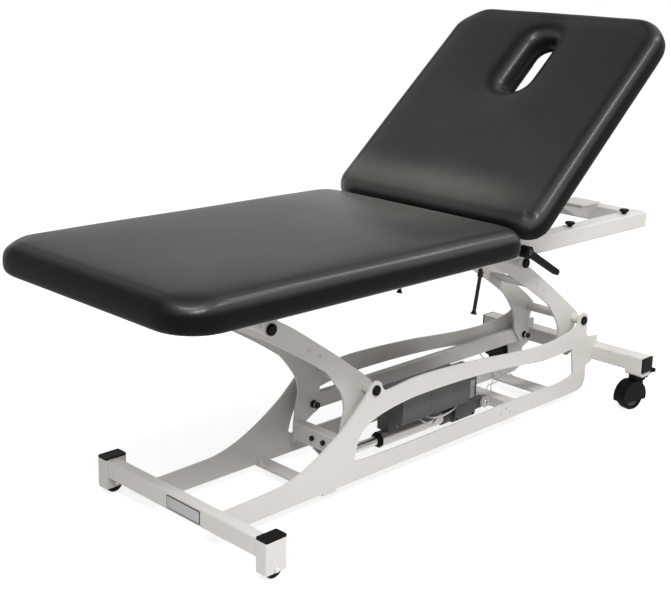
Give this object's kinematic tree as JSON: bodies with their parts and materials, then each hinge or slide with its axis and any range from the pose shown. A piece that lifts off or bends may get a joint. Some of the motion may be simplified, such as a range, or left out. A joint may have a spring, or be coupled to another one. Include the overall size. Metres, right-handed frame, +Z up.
{
  "type": "electric treatment table",
  "caption": "Electric treatment table: padded two-section top with a lift-up back and face slot, raised by parallel bell-crank arms and an actuator on a castered steel base.",
  "frame": {"origin": "on the floor under the middle of the whole length, on the centre line", "axes": "+X towards the head end with the casters, +Z up, -Y the near side with the release lever"},
  "size_m": [1.787, 0.69, 1.1153],
  "materials": {
    "powder_coat": "warm white powder coat",
    "black_plastic": "matte black",
    "steel": "bright steel",
    "black_steel": "satin black",
    "rubber": "matte black rubber",
    "grey_plastic": "dark grey moulded",
    "aluminium_tube": "satin anodised",
    "lead": "grey sheath",
    "board": "black-lined plywood",
    "vinyl": "charcoal upholstery vinyl over foam"
  },
  "bodies": {
    "base": {"foot_bar": "powder_coat", "foot_posts": "powder_coat", "foot_caps": "black_plastic", "head_bar": "powder_coat", "caster_sockets": "powder_coat", "head_caps": "black_plastic", "side_plate_near": "powder_coat", "side_plate_far": "powder_coat", "base_ties": "powder_coat", "actuator_lugs": "powder_coat", "base_bolts": "steel", "pivot_shafts": "steel", "pivot_caps": "black_plastic", "base_leads": "lead"},
    "foot_roller_near": {"foot_roller_near": "rubber"},
    "foot_roller_far": {"foot_roller_far": "rubber"},
    "foot_arm": {"foot_arm_near": "powder_coat", "foot_arm_far": "powder_coat", "foot_arm_ties": "powder_coat", "crank_box": "powder_coat", "crank_brackets": "powder_coat", "foot_arm_bolts": "steel"},
    "head_arm": {"head_arm_near": "powder_coat", "head_arm_far": "powder_coat", "head_arm_ties": "powder_coat", "head_arm_bolt": "steel"},
    "tie_bar": {"tie_bar": "powder_coat"},
    "actuator": {"actuator_gearbox": "grey_plastic", "actuator_motor": "grey_plastic", "actuator_tube": "aluminium_tube", "tube_collar": "black_plastic", "motor_leads": "lead"},
    "rod": {"actuator_rod": "steel"},
    "top_frame": {"rail_near": "powder_coat", "rail_far": "powder_coat", "end_pieces": "powder_coat", "frame_crosses": "powder_coat", "bumpers": "rubber", "frame_brackets": "powder_coat", "top_pins": "steel", "top_caps": "black_plastic", "hinge_ears": "powder_coat", "foot_board": "board", "foot_cushion": "vinyl"},
    "lever": {"release_lever": "black_plastic"},
    "back": {"back_hinge": "powder_coat", "back_tubes": "powder_coat", "back_brackets": "powder_coat", "back_board": "board", "back_cushion": "vinyl"},
    "lock_near": {"lock_near": "black_steel"},
    "lock_far": {"lock_far": "black_steel"},
    "lock_rod_near": {"rod_near": "black_steel"},
    "lock_rod_far": {"rod_far": "black_steel"},
    "swivel_near": {"caster_head_near": "black_plastic"},
    "wheel_near": {"caster_wheel_near": "rubber"},
    "pedal_near": {"caster_pedal_near": "black_plastic"},
    "swivel_far": {"caster_head_far": "black_plastic"},
    "wheel_far": {"caster_wheel_far": "rubber"},
    "pedal_far": {"caster_pedal_far": "black_plastic"}
  },
  "joints": [
    {"name": "lift", "type": "hinge", "parent": "base", "child": "foot_arm", "pos_m": [-0.1585, 0, 0.245], "axis": [0, 1, 0], "range_deg": [-22, 33]},
    {"name": "head_arm_pivot", "type": "hinge", "parent": "base", "child": "head_arm", "pos_m": [0.71, 0, 0.245], "axis": [0, 1, 0], "range_deg": [-22, 33]},
    {"name": "top_pivot", "type": "hinge", "parent": "foot_arm", "child": "top_frame", "pos_m": [-0.5534, 0, 0.49503], "axis": [0, 1, 0], "range_deg": [-33, 22]},
    {"name": "tie_pivot", "type": "hinge", "parent": "foot_arm", "child": "tie_bar", "pos_m": [-0.1775, 0.094, 0.16], "axis": [0, 1, 0], "range_deg": [-33, 22]},
    {"name": "actuator_pitch", "type": "hinge", "parent": "base", "child": "actuator", "pos_m": [0.3965, -0.0025, 0.045], "axis": [0, 1, 0], "range_deg": [-1.15, 1.7]},
    {"name": "rod_slide", "type": "slide", "parent": "actuator", "child": "rod", "axis": [-1, 0, 0], "range_m": [-0.07395, 0.11043]},
    {"name": "back_lift", "type": "hinge", "parent": "top_frame", "child": "back", "pos_m": [0.1262, 0, 0.61703], "axis": [0, -1, 0], "range_deg": [-41, 20]},
    {"name": "lock_swing_near", "type": "hinge", "parent": "top_frame", "child": "lock_near", "pos_m": [0.2075, -0.13, 0.49003], "axis": [0, 1, 0], "range_deg": [-3.33, 1.65]},
    {"name": "lock_rod_slide_near", "type": "slide", "parent": "lock_near", "child": "lock_rod_near", "axis": [0.1881, 0, 0.9822], "range_m": [-0.06941, 0.03437]},
    {"name": "lock_swing_far", "type": "hinge", "parent": "top_frame", "child": "lock_far", "pos_m": [0.2075, 0.13, 0.49003], "axis": [0, 1, 0], "range_deg": [-3.33, 1.65]},
    {"name": "lock_rod_slide_far", "type": "slide", "parent": "lock_far", "child": "lock_rod_far", "axis": [0.1881, 0, 0.9822], "range_m": [-0.06941, 0.03437]},
    {"name": "lever_pull", "type": "hinge", "parent": "top_frame", "child": "lever", "pos_m": [0.2965, -0.201, 0.53103], "axis": [0, -1, 0], "range_deg": [0, 25], "stiffness_Nm_per_rad": 6, "springref_deg": -20.05},
    {"name": "swivel_near", "type": "hinge", "parent": "base", "child": "swivel_near", "pos_m": [0.792, -0.2625, 0.095], "axis": [0, 0, 1], "continuous": true},
    {"name": "wheel_spin_near", "type": "hinge", "parent": "swivel_near", "child": "wheel_near", "pos_m": [0.76738, -0.25816, 0.04], "axis": [0.1736, 0.9848, 0], "continuous": true},
    {"name": "brake_near", "type": "hinge", "parent": "swivel_near", "child": "pedal_near", "pos_m": [0.82253, -0.26788, 0.091], "axis": [0.1736, 0.9848, 0], "range_deg": [0, 12]},
    {"name": "swivel_far", "type": "hinge", "parent": "base", "child": "swivel_far", "pos_m": [0.792, 0.2625, 0.095], "axis": [0, 0, 1], "continuous": true},
    {"name": "wheel_spin_far", "type": "hinge", "parent": "swivel_far", "child": "wheel_far", "pos_m": [0.78638, 0.23814, 0.04], "axis": [-0.9744, 0.225, 0], "continuous": true},
    {"name": "brake_far", "type": "hinge", "parent": "swivel_far", "child": "pedal_far", "pos_m": [0.79897, 0.2927, 0.091], "axis": [-0.9744, 0.225, 0], "range_deg": [0, 12]},
    {"name": "foot_roll_near", "type": "hinge", "parent": "base", "child": "foot_roller_near", "pos_m": [-0.63, -0.2825, 0.023], "axis": [0, 1, 0], "continuous": true},
    {"name": "foot_roll_far", "type": "hinge", "parent": "base", "child": "foot_roller_far", "pos_m": [-0.63, 0.2825, 0.023], "axis": [0, 1, 0], "continuous": true}
  ],
  "couplings": [
    {"joint": "head_arm_pivot", "follows": "lift", "ratio": 1},
    {"joint": "top_pivot", "follows": "lift", "ratio": -1},
    {"joint": "tie_pivot", "follows": "lift", "ratio": -1},
    {"joint": "actuator_pitch", "follows": "lift", "ratio": 0.05},
    {"joint": "rod_slide", "follows": "lift", "m_per_rad": 0.19},
    {"joint": "lock_swing_near", "follows": "back_lift", "ratio": 0.08},
    {"joint": "lock_swing_far", "follows": "back_lift", "ratio": 0.08},
    {"joint": "lock_rod_slide_near", "follows": "back_lift", "m_per_rad": 0.0956},
    {"joint": "lock_rod_slide_far", "follows": "back_lift", "m_per_rad": 0.0956}
  ]
}
